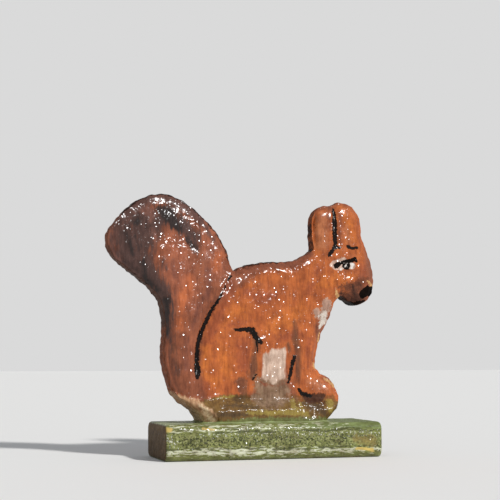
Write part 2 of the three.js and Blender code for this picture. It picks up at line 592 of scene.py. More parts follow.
    def build(self) -> bpy.types.Material:
        """Make the material.

        Returns:
            The node material.
        """
        material, tree, shader = new_material(self.name)
        coords = add_node(tree, "ShaderNodeTexCoord").outputs["Object"]
        ground_marks = self.marks(tree, coords, self.ground_brush, self.ground_mark)
        colour = self.two_tone(tree, self.ground, ground_marks)
        gloss = None
        for layer in self.layers:
            marks = self.marks(tree, coords, layer.brush, layer.mark)
            paint = self.two_tone(tree, layer.colours, marks)
            cover = self.layer_cover(tree, layer, marks)
            colour = self.blend(tree, cover, colour, paint)
            if layer.gloss < 1:
                dull = add_node(
                    tree, "ShaderNodeMath", {0: cover, 1: self.thirst}, operation="MULTIPLY", use_clamp=True
                )
                mix = add_node(tree, "ShaderNodeMix", {0: dull.outputs[0], 2: gloss or 1.0, 3: layer.gloss})
                gloss = mix.outputs[0]
        colour = self.blend(tree, 1.0, colour, self.mottle(tree, coords), "MULTIPLY")
        ridges = self.marks(tree, coords, self.ground_brush, self.ridge)
        bump = add_node(tree, "ShaderNodeBump", {"Height": ridges, "Distance": self.ridge_height * MM})
        tree.links.new(colour, shader.inputs["Base Color"])
        tree.links.new(bump.outputs[0], shader.inputs["Normal"])
        shader.inputs["Roughness"].default_value = self.roughness
        shader.inputs["Specular IOR Level"].default_value = self.specular
        self.varnish.coat(tree, shader, coords)
        if gloss:
            left = add_node(tree, "ShaderNodeMath", {0: gloss, 1: self.varnish.weight}, operation="MULTIPLY")
            tree.links.new(left.outputs[0], shader.inputs["Coat Weight"])
        return material


FIGURE_LAYERS = (
    PaintLayer(
        "tail_glow",
        ("#A96346", "#925138"),
        (
            ((-34.3, 75, 1.3), (-32.7, 71, 3.3), (-32.4, 64.5, 5), (-31, 59.5, 3.5), (-28, 52, 3)),
            ((-20.5, 75, 2), (-19, 69, 3), (-18.7, 65, 2.5), (-19.5, 61, 2)),
        ),
        softness=6, fray=1.8, mark=2.2, brush=Brush.UPRIGHT,
    ),
    PaintLayer(
        "tail_orange",
        ("#C0693C", "#AC5A32"),
        (
            ((-28.3, 60, 1.5), (-29, 57, 1.8), (-30.5, 53.8, 1.6), (-31, 49, 1)),
            ((-31.3, 46.5, 1.2), (-31.5, 43.5, 1)),
            ((-17.8, 68, 1.6), (-18.5, 64.5, 1.6)),
        ),
        softness=3, fray=1.2, cover=0.85, brush=Brush.UPRIGHT,
    ),
    PaintLayer(
        "tail_shade",
        ("#7C4838", "#683B2E"),
        (
            ((-21.7, 63.1, 0.9), (-21.4, 56.6, 1.2), (-24.5, 51.7, 0.9), (-27.5, 44, 0.5)),
            ((-34.5, 66, 0.8), (-33.5, 61, 0.6)),
            ((-29, 40, 0.4), (-29.5, 30, 0.5)),
        ),
        softness=2.4, fray=1.2, mark=1.4, cover=0.8, brush=Brush.UPRIGHT,
    ),
    PaintLayer(
        "orange",
        ("#BE662F", "#AE592A"),
        (
            ((-15, 28, 9), (-11, 42, 12), (3, 50, 14), (14, 56, 10), (24, 63, 9), (29, 72, 8), (29, 80, 8)),
            ((-15, 24, 8), (-7, 36, 9), (8, 42, 9), (13, 30, 7), (15, 23, 6), (20, 21, 5)),
            ((20.5, 82, 4), (20.5, 73, 4)),
        ),
        softness=2.5, fray=0.8, mark=2.6, brush=Brush.UPRIGHT,
    ),
    PaintLayer(
        "glow",
        ("#CC7230", "#C0662A"),
        (
            ((-14.9, 48.8, 1.2), (-9.7, 49.7, 1.7)),
            ((-22.7, 36.9, 1.2), (-23, 30.4, 1.4), (-20, 25.5, 1.8)),
            ((-16.8, 36, 1.6), (-15.2, 29, 1.8)),
            ((0, 44, 1.2), (6, 47, 2.6), (12, 51, 1.6)),
            ((18, 60, 2), (24, 61, 2), (31, 62, 1.2)),
            ((29, 84, 1.5), (31, 76, 1.5)),
            ((19.5, 80, 1.5), (19.5, 74, 1.5)),
        ),
        softness=4, fray=1.5, mark=2, cover=0.9,
    ),
    PaintLayer(
        "russet",
        ("#A35330", "#93492A"),
        (
            ((-14, 58, 1.6), (-17, 50, 1.8), (-20.1, 43, 1.6), (-21.8, 39.5, 0.8)),
            ((-15.4, 44.3, 0.5), (-12.8, 45.1, 0.8), (-8.9, 45.1, 0.5)),
            ((-8, 56, 1.6), (-3, 54, 1.8), (2, 55, 1)),
            ((3, 40, 1.2), (10, 42, 1.6)),
            ((-9.5, 39, 1.8), (-9.5, 31, 2.2)),
            ((15, 57, 1.2), (18, 65, 1)),
            ((34.5, 66, 1.2), (35.5, 61, 1.5)),
            ((-23, 25, 0.8), (-21.5, 21.5, 0.8)),
            ((14.5, 40, 0.8), (13.8, 31, 0.8)),
        ),
        softness=3, fray=1.4, mark=1.6, cover=0.85,
    ),
    # Darker red-brown along the back's top facet, beside the ear cut and over the eye: partly darker paint,
    # partly painted shade where the facet and the cut turn from the light.
    PaintLayer(
        "burnt_and_shade",
        ("#88492E", "#733B25"),
        (
            ((-11.5, 63.5, 1.6), (-2, 66.3, 1.8), (9, 66.6, 1.8), (15.5, 70, 1.4)),
            ((27, 84, 0.8), (26.9, 79.4, 1), (26.5, 74.5, 0.9)),
            ((22.9, 83.5, 0.5), (22.8, 78.5, 0.4)),
            ((26, 64, 0), (33, 64.5, 0.2)),
        ),
        softness=2, fray=0.8, mark=1.1, cover=0.75,
    ),
    PaintLayer(
        "rosy",
        ("#C07A54", "#AE6A47"),
        (
            ((20.2, 82.5, 1.8), (20.2, 73.5, 2)),
            ((29, 79.5, 0.8), (30.5, 73.5, 0.8)),
            ((14.5, 25.6, 1.2), (17.6, 24.2, 1.9), (20.6, 22.8, 1.2)),
        ),
        softness=2.8, fray=1.2, mark=1.3, cover=0.75,
    ),
    PaintLayer(
        "umber",
        ("#513B36", "#382825"),
        (
            (
                (-50.5, 79, 3.4), (-49.5, 72, 4.2), (-48.5, 66, 4.4), (-43.5, 59.5, 4.2), (-38.5, 54, 3.6),
                (-36, 49, 2.4),
            ),
            ((-36, 49, 2.2), (-35.8, 43, 1.1), (-34.2, 38, 0.3), (-32.4, 28.8, 0.2)),
            ((-43, 77.5, 5.6), (-44.5, 69.3, 3.6), (-44.3, 66, 3.8), (-41, 60, 3.4), (-37.4, 55.5, 2.8)),
            (
                (-46.5, 80.5, 3), (-39, 80, 3), (-35, 82, 3.8), (-29.7, 78, 2.6), (-26.5, 75, 2.4),
                (-26, 71, 1.3),
            ),
            ((-49, 83, 2), (-45, 85.5, 2), (-41, 87.5, 1)),
            ((-36, 87, 1.6), (-31, 86, 1.8), (-26, 82.5, 1.2), (-22, 78, 0.5)),
            ((-37.5, 66, 0.1), (-36.8, 63.5, 0.3)),
        ),
        softness=3.6, fray=2.2, mark=0.9, cover=0.93, brush=Brush.UPRIGHT,
    ),
    PaintLayer(
        "tail_rim",
        ("#7E5245", "#664238"),
        (
            ((-54.6, 74.5, 0.7), (-54.6, 70, 1.2), (-52.5, 65.5, 0.8)),
            ((-45, 84, 0.5), (-43, 83.3, 1.5), (-40.5, 82, 1.2), (-41.5, 79.5, 0.5)),
            ((-41, 77, 0.4), (-39.5, 73, 0.5)),
            ((-52, 71, 0.1), (-51.5, 66, 0.1)),
            ((-45, 72, 0.1), (-44.5, 66, 0.1)),
        ),
        softness=1.8, fray=1.1, mark=1, cover=0.85, brush=Brush.UPRIGHT,
    ),
    PaintLayer(
        "plume_rim",
        ("#6C483E", "#4E352F"),
        (
            ((-54.6, 73, 0.8), (-53, 77.5, 1.4), (-50, 81.5, 2), (-44, 86, 2.2), (-38, 88.5, 2)),
            ((-38, 88.5, 1.6), (-30, 86, 2), (-24, 81, 1.4), (-19.5, 74, 0.6)),
        ),
        softness=2, fray=1.2, mark=0.9, cover=0.85, brush=Brush.UPRIGHT,
    ),
    PaintLayer(
        "soot",
        ("#2A211F", "#171211"),
        (
            ((-38.6, 83.8, 1.4), (-35.6, 81.8, 2.3), (-33, 78.6, 1.6), (-31.2, 77, 0.8)),
            ((-46.2, 79.3, 1.1),),
            ((-49.8, 75, 0.8), (-47.5, 68, 0.5)),
            ((-45.8, 74, 0.5), (-45, 70, 0.4)),
            ((-29.5, 74.5, 0.5), (-28, 72.6, 0.9), (-26.4, 71, 0.8)),
            ((-35.8, 53, 1.1), (-35.4, 45, 0.7), (-35.6, 42, 0.3)),
            ((-44, 66, 0.6), (-43, 60, 0.7), (-39, 56, 0.7)),
            ((-53, 64.5, 0.3), (-48, 61, 0.5)),
        ),
        softness=1.4, fray=1.1, mark=0.9, cover=0.88, brush=Brush.UPRIGHT,
    ),
    PaintLayer(
        "edge_of_body",
        ("#9A583A", "#6C3E29"),
        EVERYWHERE, where=Where.SAWN_EDGE,
        softness=1.4, fray=0.8, mark=1.1, cover=0.85, gloss=0.0,
    ),
    PaintLayer(
        "edge_of_tail",
        ("#664A3D", "#45302A"),
        (((-56, 70, 1), (-54, 64, 3), (-44, 58, 4), (-38, 52, 4), (-37, 47, 3)),),
        where=Where.SAWN_EDGE,
        softness=2, fray=1.1, mark=1.1, cover=0.94, gloss=0.0,
    ),
    # Near-black blotches on the sawn edge along the tail's top, the tail's lower left and the ear's left:
    # partly dark paint, partly painted shade on the edges turned from the light.
    PaintLayer(
        "edge_blotches_and_shade",
        ("#34221B", "#1C1310"),
        (
            ((-44, 88, 2), (-38, 90, 3), (-28, 86, 2), (-20, 78, 1.2)),
            ((-54, 64.5, 0.6), (-50, 61.5, 1), (-44, 57, 1.2), (-39, 51, 0.8), (-38, 44, 0.6)),
            ((-37.6, 40, 0), (-37.4, 36, -0.4), (-37, 28, -0.2), (-35, 24, 0.2)),
            ((16.8, 79.9, 0.6), (16.6, 77.6, 0.9)),
            ((16.6, 74, 0.6),),
            ((17, 71.2, 0.8), (17.4, 70.4, 0.8)),
        ),
        where=Where.SAWN_EDGE,
        softness=1, fray=1.5, mark=1, cover=0.92, gloss=0.0,
    ),
    PaintLayer(
        "rim_line",
        ("#241914", "#120D0B"),
        (
            ((-50, 82, 1), (-44, 88, 2), (-38, 90, 3), (-28, 86, 3), (-20, 78, 2.5), (-14, 68, 1)),
            ((-56, 68, 0.4), (-52, 64, 1), (-44, 58, 1.4), (-38, 50, 1), (-37, 44, 0.4)),
            ((-8, 65, 1), (4, 68, 1.4), (9, 68, 0.6)),
        ),
        where=Where.RIM,
        softness=0.6, fray=0.7, mark=1.2, cover=0.9, gloss=0.2,
    ),
    PaintLayer(
        "smear",
        ("#6E452D", "#583523"),
        (
            ((-4.6, 37, 0.5), (-5.6, 34, 1.2), (-6.1, 30, 1.6), (-6.5, 27.4, 1.4)),
            ((-33.6, 38, 0.1), (-32.8, 33, 0.1), (-31.8, 28, 0)),
            ((9.2, 45.8, 0.7), (9.4, 40, 1.1), (10, 36.6, 1.1), (9.9, 31, 1.2), (9.3, 25.5, 1)),
            ((6.4, 38.6, 0.5), (7.2, 36.4, 0.5)),
            ((-5, 41.5, 1), (-4.5, 37, 0.6)),
        ),
        softness=2, fray=0.9, mark=1.2, cover=0.85, brush=Brush.UPRIGHT,
    ),
    PaintLayer(
        "knee",
        ("#774930", "#623A26"),
        (((-10.3, 25.4, 1.9), (-9.6, 23, 1.8), (-9.4, 21, 1.2)),),
        softness=1.3, fray=0.8, mark=1.1, cover=0.85,
    ),
    PaintLayer(
        "olive",
        ("#7E6132", "#69502A"),
        (
            ((-24, 18.6, 0.9), (-20, 19, 1.6), (-16, 19.4, 1.9), (-9, 18.6, 2.2)),
            ((-22, 14, 4.5), (-19.5, 15.8, 4), (-13, 16.4, 4), (-7, 15, 4)),
            ((-7, 15, 4.2), (0, 15, 4.4), (6, 15, 4.4)),
            ((6, 15, 4), (12, 15.3, 3.8), (22, 15.2, 4.2)),
        ),
        softness=1, fray=0.9, mark=1, gloss=0.7, brush=Brush.DABBED,
    ),
    # Dull brown along the crease where the body meets the mound: painted shade in the crease under the haunch
    # and paw, with almost no varnish so that it does not glint.
    PaintLayer(
        "crease",
        ("#7A5B3A", "#64492E"),
        (
            ((-17, 20.6, 0.7), (-5, 20.2, 1.2), (4, 20, 1.3)),
            ((4, 20, 1.3), (8, 19.9, 1.2), (12, 19.9, 1.2), (22.5, 20, 1)),
        ),
        softness=1.3, fray=0.7, mark=0.9, cover=0.72, gloss=0.02,
    ),
    PaintLayer(
        "dust",
        ("#977B65", "#7D674F"),
        (
            ((-4.9, 27.5, 0.5), (-4.2, 23, 1.7), (0.6, 21, 3.4), (5, 22.8, 2)),
            ((-5, 20, 2), (-2, 18.2, 1.8), (3, 18.6, 1.2)),
            ((3, 19.6, 1.2), (7, 19.2, 0.4)),
            ((-3.2, 26.4, 0.8), (1.3, 25, 1.2), (5.2, 26.4, 0.6)),
        ),
        softness=1.8, fray=1, mark=1.1, cover=0.9, gloss=0.3,
    ),
    PaintLayer(
        "moss",
        ("#5C4831", "#493723"),
        (
            ((-12.5, 20, 1.1), (-9.9, 20.2, 1.1)),
            ((-17, 18, 0.4), (-9, 17.6, 0.7), (-5, 17, 0.4)),
            ((11.5, 18.3, 0.8), (15.5, 17.4, 1.5), (18, 15.5, 1.2), (19, 14, 0.8)),
            ((-20.7, 14.8, 0.6), (-14, 14.9, 0.9), (-9.5, 14.6, 0.5)),
        ),
        softness=1.2, fray=0.9, mark=0.9, cover=0.85,
    ),
    PaintLayer(
        "paw_shade",
        ("#583B2E", "#402A22"),
        (
            ((11.6, 21, 0.7), (13.5, 19.9, 1.6), (17.6, 20.1, 1.7), (19, 21, 0.8)),
            ((18.8, 21, 0.3), (19, 17.6, 0.3)),
        ),
        softness=0.9, fray=0.7, mark=0.8, cover=0.95, gloss=0.02,
    ),
    PaintLayer(
        "ochre",
        ("#A5914A", "#8F7C3B"),
        (
            ((-9, 15.6, 0.5), (-1.2, 15.2, 0.8), (8.7, 15.4, 1.1), (12.5, 14.6, 0.6)),
            ((7.5, 19.2, 0.8), (7.9, 16.4, 1.2)),
            ((21, 18.4, 1.2), (20.6, 16.3, 1.2)),
            ((-19, 20.4, 0.2), (-13, 21, 0.3)),
            ((10, 18.6, 0.3), (10.2, 16.8, 0.5)),
        ),
        softness=0.8, fray=0.8, mark=0.8, cover=0.88,
    ),
    # Pale tan on the slice at the heel: partly bare wood, partly painted light, as the paint is paler to make
    # up for the slice turning from the key light.
    PaintLayer(
        "foot_end_bare_and_lit",
        ("#CFA983", "#A87E5E"),
        (((-35, 22.8, 0.3), (-31.5, 18.6, 2.8), (-28, 15.6, 4.8), (-26, 12.6, 6.2)),),
        softness=1, fray=0.7, mark=1, gloss=0.05, brush=Brush.UPRIGHT,
    ),
    # Near-white on the heel's facets: partly bare wood, partly painted light on facets that lie in shade.
    PaintLayer(
        "heel_bare_and_lit",
        ("#ECD6B2", "#D2B48C"),
        (
            ((-25.2, 18, 0.3), (-23.4, 16.6, 0.8), (-22.8, 15.2, 0.8)),
            ((-29.4, 16.8, 0.5), (-27.2, 14.4, 2), (-25, 12.8, 1.6)),
            ((-22.3, 14.6, 0.7), (-21, 13, 1)),
        ),
        softness=1.2, fray=0.7, mark=0.9, cover=0.85, gloss=0.1,
    ),
    PaintLayer(
        "foot_green",
        ("#7E8450", "#666C3C"),
        (((-20.5, 12.1, 0.3), (-14, 12.4, 0.8), (-7.6, 12.7, 1), (5, 12.7, 1), (19, 12.5, 1)),),
        softness=0.9, fray=0.8, mark=0.9,
    ),
    PaintLayer(
        "cream",
        ("#DCC3AF", "#C8AB97"),
        (
            ((-1.3, 34, 1.5), (-1.5, 27.4, 1.3)),
            ((1.4, 34.7, 2), (1.3, 26.6, 1.7)),
            ((4.1, 35.5, 1.7), (3.9, 27.9, 1.5)),
            ((-2.2, 34.8, 0.4), (5.2, 36.8, 0.4)),
        ),
        softness=0.9, fray=0.5, mark=1, brush=Brush.UPRIGHT,
    ),
    PaintLayer(
        "muzzle",
        ("#7E4A33", "#4A2D21"),
        (
            ((25.8, 58.6, 0.2), (29, 58.6, 1.3), (32.5, 58.4, 2), (35.5, 61, 1.2), (37.5, 62, 0.4)),
            ((26.8, 56.4, 0.6), (29, 55.4, 1.7), (32, 54.8, 1.9), (35, 54.8, 1.3)),
        ),
        softness=1.8, fray=1.4, mark=0.75, cover=0.92, gloss=0.6,
    ),
    PaintLayer(
        "snout",
        ("#553529", "#3A241C"),
        (
            ((31.2, 59.6, 0.2), (31.6, 57, 0.8), (33.2, 54.6, 1.3), (30.5, 53.6, 0.8)),
            ((33.6, 59.4, 0.3), (34.4, 58.6, 0.3)),
        ),
        softness=1.3, fray=1, mark=0.6, cover=0.9, gloss=0.4,
    ),
    # Near-black on the sawn edge under the jaw: partly dark paint, partly painted shade under the head.
    PaintLayer(
        "jaw_edge",
        ("#40281D", "#1E1410"),
        (((26.4, 55.4, 1.2), (28, 54, 1.6), (31, 51.8, 2.4), (36, 53, 2.4), (38.5, 56, 1.5)),),
        where=Where.SAWN_EDGE,
        softness=1, fray=0.8, mark=0.9, cover=0.96, gloss=0.0,
    ),
    PaintLayer(
        "whiskers",
        ("#2A1D18", "#1D1410"),
        (
            ((30.8, 59.5, 0.15), (31.3, 57, 0.35), (32, 55.5, 0.2)),
            ((26.8, 58.2, 0.2), (27.3, 55.8, 0.1)),
            ((33, 60.2, 0.1), (34, 59.4, 0.1)),
        ),
        softness=0.9, fray=0.6, mark=0.7, cover=0.75,
    ),
    PaintLayer(
        "breast",
        ("#BC9782", "#A08070"),
        (
            ((21.4, 52.2, 2.2), (20.6, 50.6, 1.8)),
            ((17.4, 49.6, 1.4), (18.5, 48.2, 1.2)),
            ((19.4, 49.4, 1.2),),
        ),
        softness=0.7, fray=1.1, mark=0.9,
    ),
    PaintLayer(
        "white",
        ("#CDBFB0", "#F0EBE2"),
        (((20.6, 48.8, 1.2), (19.8, 46.6, 1.4), (18.8, 44.2, 0.4)), ((18.2, 48.3, 0.3), (19.4, 48.8, 0.4))),
        softness=0.6, fray=0.9, mark=0.7,
    ),
    PaintLayer(
        "eye_pale",
        ("#CDAA95", "#E2C9BA"),
        (
            ((23.2, 66.2, 0.7), (24.6, 66.3, 1.6), (26.2, 66.5, 1.95), (28, 66.8, 1.8), (31, 66.1, 1.2)),
            ((24.6, 64.9, 0.4), (27, 64.8, 0.45)),
            ((26.5, 68.1, 0.45), (28.2, 68.7, 0.45)),
        ),
        softness=0.3, fray=0.25, mark=0.7,
    ),
    PaintLayer(
        "bare",
        ("#DDAE76", "#B98A58"),
        (
            ((24.8, 57.2, 0.35), (25.7, 55.6, 0.6), (27, 54.5, 0.6), (28, 53.9, 0.45)),
            ((37, 60.6, 0.5), (38.6, 59.6, 0.5)),
            ((16.4, 31.8, 0.4), (16.9, 30.3, 0.45)),
            ((18.6, 42.6, 0.25), (18.4, 39.3, 0.3)),
            ((20, 26.6, 0.3), (22, 25.6, 0.55), (23.8, 24, 0.4)),
            ((-36.5, 24.5, 0.4), (-35.5, 23.4, 0.4)),
        ),
        where=Where.FACES,
        softness=0.35, fray=0.5, mark=0.7, gloss=0.6,
    ),
    PaintLayer(
        "ink",
        ("#0F0B09", "#070504"),
        (
            (
                (-15.2, 58.6, 0.1), (-17.9, 53.3, 0.42), (-21.3, 47.9, 0.62), (-24.1, 41.8, 0.82),
                (-25.2, 37.7, 0.72),
            ),
            ((-25.2, 37.7, 0.72), (-25.7, 32.8, 0.7), (-25.5, 29.2, 1.15), (-25.7, 26.8, 0.45)),
            ((-14.5, 60.2, 0.25), (-13.4, 61.7, 0.45)),
            ((-15.6, 58.2, 0.3),),
            (
                (-12.1, 43.2, 0.5), (-9.2, 43.5, 0.75), (-6.4, 43.1, 1.15), (-4.9, 40.6, 0.95),
                (-3.2, 39.1, 0.75),
            ),
            ((-5, 40.6, 0.4), (-4.3, 35.7, 0.25)),
            ((-5.1, 28.1, 0.32), (-6.3, 26.5, 0.42)),
            ((8.7, 34.1, 0.75), (7.7, 30.3, 0.65), (6.4, 25.4, 0.4)),
            ((10.1, 23.1, 0.62), (11.3, 21.5, 0.65), (14.2, 20.9, 0.62)),
            (
                (24.7, 86.2, 0.4), (24.9, 82.5, 0.85), (24.7, 78.1, 0.9), (24.9, 73.1, 0.75),
                (22.5, 69.7, 0.65),
            ),
            ((24.9, 72.8, 0.65), (26.6, 72.3, 0.5)),
            ((29.4, 73, 0.55), (31.2, 72.3, 0.62), (33.1, 72.6, 0.5)),
        ),
        softness=0.25, fray=0.42, mark=0.7, cover=0.99, gloss=0.4,
    ),
    PaintLayer(
        "face_ink",
        ("#0E0A08", "#060403"),
        (
            ((25, 66, 1), (25.5, 66.3, 1)),
            ((25.6, 66.4, 0.85), (26.8, 67, 0.6), (28.7, 67.7, 0.7), (30.5, 67.8, 0.72), (32, 68.5, 0.85)),
            ((32, 68.6, 0.75), (32.6, 67.8, 0.5)),
            ((28.3, 66, 1.1), (28.9, 65.7, 1.1), (29.4, 66.2, 0.9)),
            ((35, 56.2, 1.55), (36.6, 57.2, 1.75), (37.8, 57.3, 1.5)),
            ((36.9, 58.7, 0.7), (37.9, 56.2, 0.8)),
            ((38.8, 57.8, 1.3), (39.2, 57, 1.5)),
        ),
        softness=0.2, fray=0.28, mark=0.6, cover=0.99, gloss=0.05,
    ),
    PaintLayer(
        "jaw_line",
        ("#150F0C", "#0B0807"),
        (((28.8, 52.9, 0.9), (30.2, 53, 0.45), (31.8, 52.7, 0.65), (33.9, 53.2, 0.6), (36, 53.8, 0.4)),),
        softness=0.3, fray=0.4, mark=0.6, cover=0.97, gloss=0.0,
    ),
    # White of the eye, with small white dots in the pupil and on the brow that are painted glints.
    PaintLayer(
        "eye_white_and_glints",
        ("#EDE7DF", "#F8F5F0"),
        (
            ((30.4, 66.8, 0.32), (31.5, 66.6, 0.42), (30.95, 66, 0.45), (30.75, 65.3, 0.42)),
            ((28.7, 66.4, 0.24), (28.1, 65.5, 0.2)),
            ((28.7, 66.2, 0.2), (29.2, 65.5, 0.14)),
            ((26.7, 64.7, 0.4), (27, 65, 0.3)),
            ((26.6, 67.4, 0.22),),
            ((27.9, 67, 0.16),),
            ((29.2, 66.95, 0.14),),
        ),
        softness=0.2, fray=0.1, mark=0.5,
    ),
)


@dataclass(frozen=True)
class VarnishRun:
    """A run of thick varnish that dried in small beads.

    lean is the slope of the run against the wood along x and z, bead the size of its beads and height theirs.
    border is the band outside the stroke over which it thins to nothing.
    """

    stroke: Stroke
    lean: tuple[float, float] = (0.05, 0.2)
    bead: float = 1.7
    height: float = 0.12
    border: Band = (-0.3, 0.9)

    def cover(self, surface: Surface) -> np.ndarray:
        """Give the run's share of each vertex, from 0 outside it to 1 along its middle."""
        return fade_out(surface.stroke_distance(self.stroke), *self.border)

    def depth(self, surface: Surface) -> np.ndarray:
        """Give the depth that the beads add to a face, in millimetres inwards at every vertex."""
        return self.cover(surface) * self.height * surface.noise((self.bead,) * 3, BEAD_SEED)


VARNISH_RUNS = (
    VarnishRun(((-17.8, 53.8, 0.5), (-16, 57, 0.9), (-14.3, 59.4, 0.7)), (0.4, 0.14), 1.4, 0.2),
    VarnishRun(((-16.2, 54.6, 0.3), (-14.8, 57.2, 0.7), (-13.2, 58.6, 0.5)), (0.16, 0.27), 1.3, 0.28),
    VarnishRun(((-17.4, 58.2, 0.3), (-16.2, 59.6, 0.6), (-15.2, 60.8, 0.6)), (-0.14, 0.36), 1.4, 0.24),
    VarnishRun(((-14.4, 62.7, 0.3), (-13.5, 62.7, 0.3)), (-0.38, 0.06), 1.4, 0.2),
    VarnishRun(
        ((-13.6, 59, 0.9), (-11.6, 60, 1.1), (-8.2, 61.6, 0.9), (-5.4, 62.6, 0.9)),
        (0.22, 0.1), 1.4, 0.34,
    ),
    VarnishRun(((-5.2, 63, 0.9), (2.2, 64.1, 0.9), (9, 64.2, 0.9), (11.3, 64.9, 0.9)), (0.04, 0), 1.4, 0.42),
    VarnishRun(
        ((11.3, 65, 0.9), (14.2, 66.7, 0.9), (17.1, 68.4, 0.9), (19.8, 68.6, 0.7)),
        (0.24, -0.1), 1.4, 0.38,
    ),
    VarnishRun(
        ((-53.3, 77.5, 0.4), (-50, 81.4, 0.9), (-47.3, 82.9, 1.4), (-43.8, 83.9, 1.3)),
        (0.37, 0), 1.5, 0.35,
    ),
    VarnishRun(((-41.7, 86, 0.2), (-40.2, 86.3, 0.5), (-37.2, 86.3, 0.3)), (0.13, 0.13), 2.5, 0.06),
    VarnishRun(((-41.7, 87, 0.2), (-40.2, 87.5, 0.5), (-37.2, 87.4, 0.3)), (0.13, -0.2), 2.5, 0.06),
    VarnishRun(
        ((-36.2, 83, 0.5), (-33.4, 83.6, 0.8), (-30.6, 82.8, 0.6), (-26.6, 81.3, 0.9), (-23.6, 77.6, 0.9)),
        (0.08, 0.14), 1.3, 0.45,
    ),
    VarnishRun(
        (
            (-37.7, 71.1, 0.1), (-34.8, 73.6, 0.3), (-32.5, 71.4, 0.4), (-30.2, 73, 0.6), (-27.6, 71.4, 0.4),
            (-25.4, 68.6, 0.1),
        ),
        (0.07, 0.28), 1.2, 0.75,
    ),
    VarnishRun(((19.2, 83.6, 0.6), (21.2, 84.8, 0.6)), (0.2, 0.05), 2.2, 0.05),
    VarnishRun(((23.6, 80.6, 0.4), (24.4, 79.4, 0.6), (25.4, 78.4, 0.4)), (-0.2, 0.23), 1.1, 0.3),
    VarnishRun(((-24.5, 19.4, 0.2), (-21.7, 20.6, 0.2), (-18.2, 21.4, 0.2)), height=0.6),
    VarnishRun(((-21, 16.2, 0.3), (-15.6, 16.8, 0.4), (-10.3, 15.6, 0.4), (-7, 15.2, 0.2)), height=0.6),
    VarnishRun(((-4.2, 16.3, 0.4), (0.6, 16.9, 0.5), (5.2, 17.4, 0.4)), height=0.6),
    VarnishRun(((10, 18, 0.4), (14, 18.2, 0.7), (17.8, 18.2, 0.4)), (0.08, -0.36), 1.2, 0.4),
    VarnishRun(((10.4, 16.2, 0.3), (14.3, 15.6, 0.6), (16.4, 14.9, 0.4)), (0, 0.3), 1.2, 0.4),
    VarnishRun(((10.7, 13.7, 0.4), (12.9, 13.2, 0.4), (15, 13.6, 0.5)), (0.12, 0.36), 1.2, 0.4),
    VarnishRun(((25.6, 61.8, -0.2), (29.2, 61.8, -0.1), (31.4, 60.4, 0)), (0.03, 0.27), 1, 0.4),
    VarnishRun(((-35.4, 53.5, 0.2),), (0.6, 0.46), height=0.06),
    VarnishRun(((-32.3, 42.6, 0.1),), (0.34, 0.22), height=0.06),
    VarnishRun(((-3.6, 40.8, 0.6), (-2.2, 41.2, 0.6)), (0.05, 0.26), 1.3, 0.35),
    VarnishRun(((-3, 54.9, 0.3), (-0.9, 53.4, 0.3), (1.1, 54.7, 0.3)), (0.05, 0.24), 1.3, 0.4),
    VarnishRun(((1.4, 30.4, 0.1), (1.6, 28, 0.2)), (0.05, 0.26), 1.4, 0.5),
    VarnishRun(((27, 86, 0.5), (27.6, 85.2, 0.5)), (0.05, 0.1)),
)


